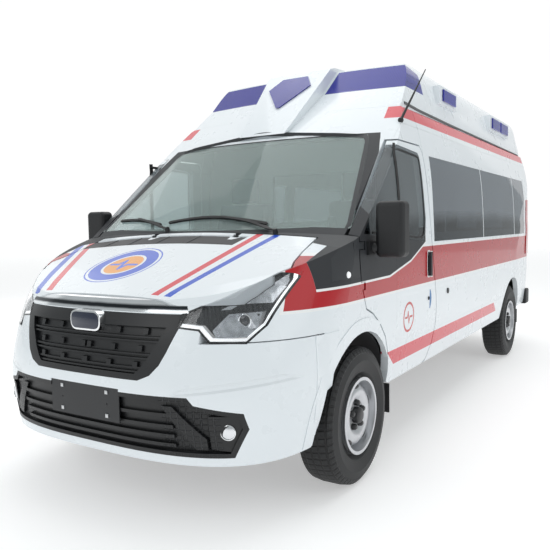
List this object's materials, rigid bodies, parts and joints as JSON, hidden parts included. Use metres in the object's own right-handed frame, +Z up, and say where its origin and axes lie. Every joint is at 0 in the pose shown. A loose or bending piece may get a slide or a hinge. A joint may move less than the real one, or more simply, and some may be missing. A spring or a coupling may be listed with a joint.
{
  "type": "high-roof van ambulance",
  "caption": "High-roof van ambulance with hinged cab doors, rear doors and hood, steered front wheels and a blue roof light band.",
  "frame": {"origin": "centre of the bounding box on the ground plane", "axes": "front faces -Y, +X is the vehicle's left (driver side), +Z up"},
  "size_m": [2.34, 5.7805, 2.55],
  "materials": {
    "body_white": "gloss paint",
    "glass_dark": "dark tinted",
    "glass_clear": "green tinted",
    "trim_black": "grained",
    "grille_black": "semi-gloss",
    "strip_silver": "satin",
    "lamp_clear": "clear lens over dark reflector",
    "lamp_blue": "blue lens",
    "lamp_red": "red lens",
    "rubber_tyre": "black",
    "rim_silver": "silver paint",
    "frame_dark": "underbody paint",
    "engine_grey": "plain block",
    "steel_bare": "worn",
    "dash_grey": "grained",
    "seat_fabric": "woven",
    "cabin_grey": "lining",
    "rubber_flap": "black"
  },
  "bodies": {
    "vehicle_body": {"side_wall_left": "body_white", "side_wall_right": "body_white", "sliding_door": "body_white", "side_glass": "glass_dark", "windscreen_frame": "body_white", "windscreen": "glass_clear", "cowl": "trim_black", "front_bumper": "body_white", "grille": "grille_black", "grille_strip": "strip_silver", "lower_grille": "grille_black", "headlamps": "lamp_clear", "fender_left": "body_white", "fender_right": "body_white", "number_plate": "trim_black", "roof_cap": "body_white", "roof_lamps": "lamp_blue", "aerial": "trim_black", "floor_frame": "frame_dark", "front_arch_liners": "trim_black", "dashboard": "dash_grey", "partition": "cabin_grey", "cab_seats": "seat_fabric", "engine_block": "engine_grey", "front_suspension": "frame_dark", "rear_axle": "frame_dark", "leaf_springs": "steel_bare", "fuel_tank": "frame_dark", "exhaust": "steel_bare", "rear_step": "trim_black", "tail_lamps": "lamp_red", "mud_flaps": "rubber_flap"},
    "hood_body": {"hood": "body_white"},
    "front_door_left_body": {"front_door_left": "body_white", "door_glass_left": "glass_dark", "mirror_left": "trim_black"},
    "front_door_right_body": {"front_door_right": "body_white", "door_glass_right": "glass_dark", "mirror_right": "trim_black"},
    "rear_door_left_body": {"rear_door_left": "body_white", "rear_glass_left": "glass_dark"},
    "rear_door_right_body": {"rear_door_right": "body_white", "rear_glass_right": "glass_dark"},
    "knuckle_left_body": {"knuckle_left": "steel_bare"},
    "knuckle_right_body": {"knuckle_right": "steel_bare"},
    "steering_wheel_body": {"steering_wheel": "dash_grey"},
    "wheel_front_left": {"tyre_front_left": "rubber_tyre", "rim_front_left": "rim_silver"},
    "wheel_front_right": {"tyre_front_right": "rubber_tyre", "rim_front_right": "rim_silver"},
    "wheel_rear_left": {"tyre_rear_left": "rubber_tyre", "rim_rear_left": "rim_silver"},
    "wheel_rear_right": {"tyre_rear_right": "rubber_tyre", "rim_rear_right": "rim_silver"}
  },
  "joints": [
    {"name": "hood_hinge", "type": "hinge", "parent": "vehicle_body", "child": "hood_body", "pos_m": [0, -2.03487, 1.3181], "axis": [-1, 0, 0], "range_deg": [0, 50]},
    {"name": "front_door_left_hinge", "type": "hinge", "parent": "vehicle_body", "child": "front_door_left_body", "pos_m": [0.97998, -1.868, 1], "axis": [0, 0, -1], "range_deg": [0, 65]},
    {"name": "front_door_right_hinge", "type": "hinge", "parent": "vehicle_body", "child": "front_door_right_body", "pos_m": [-0.97998, -1.868, 1], "axis": [0, 0, 1], "range_deg": [0, 65]},
    {"name": "rear_door_left_hinge", "type": "hinge", "parent": "vehicle_body", "child": "rear_door_left_body", "pos_m": [0.87172, 2.8642, 1.2], "axis": [0, 0, -1], "range_deg": [0, 175]},
    {"name": "rear_door_right_hinge", "type": "hinge", "parent": "vehicle_body", "child": "rear_door_right_body", "pos_m": [-0.87172, 2.8642, 1.2], "axis": [0, 0, 1], "range_deg": [0, 175]},
    {"name": "steer_left", "type": "hinge", "parent": "vehicle_body", "child": "knuckle_left_body", "pos_m": [0.76, -1.88, 0.364], "axis": [0, 0, 1], "range_deg": [-35, 35]},
    {"name": "steer_right", "type": "hinge", "parent": "vehicle_body", "child": "knuckle_right_body", "pos_m": [-0.76, -1.88, 0.364], "axis": [0, 0, 1], "range_deg": [-35, 35]},
    {"name": "steering_column", "type": "hinge", "parent": "vehicle_body", "child": "steering_wheel_body", "pos_m": [0.45005, -1.38013, 1.1299], "axis": [0, 0.5736, 0.8192], "range_deg": [-560, 560]},
    {"name": "spin_front_left", "type": "hinge", "parent": "knuckle_left_body", "child": "wheel_front_left", "pos_m": [0.8685, -1.88, 0.364], "axis": [1, 0, 0], "continuous": true},
    {"name": "spin_front_right", "type": "hinge", "parent": "knuckle_right_body", "child": "wheel_front_right", "pos_m": [-0.8685, -1.88, 0.364], "axis": [1, 0, 0], "continuous": true},
    {"name": "spin_rear_left", "type": "hinge", "parent": "vehicle_body", "child": "wheel_rear_left", "pos_m": [0.855, 1.87, 0.364], "axis": [1, 0, 0], "continuous": true},
    {"name": "spin_rear_right", "type": "hinge", "parent": "vehicle_body", "child": "wheel_rear_right", "pos_m": [-0.855, 1.87, 0.364], "axis": [1, 0, 0], "continuous": true}
  ],
  "couplings": [
    {"joint": "steer_right", "follows": "steer_left", "ratio": 1},
    {"joint": "steering_column", "follows": "steer_left", "ratio": 16}
  ]
}
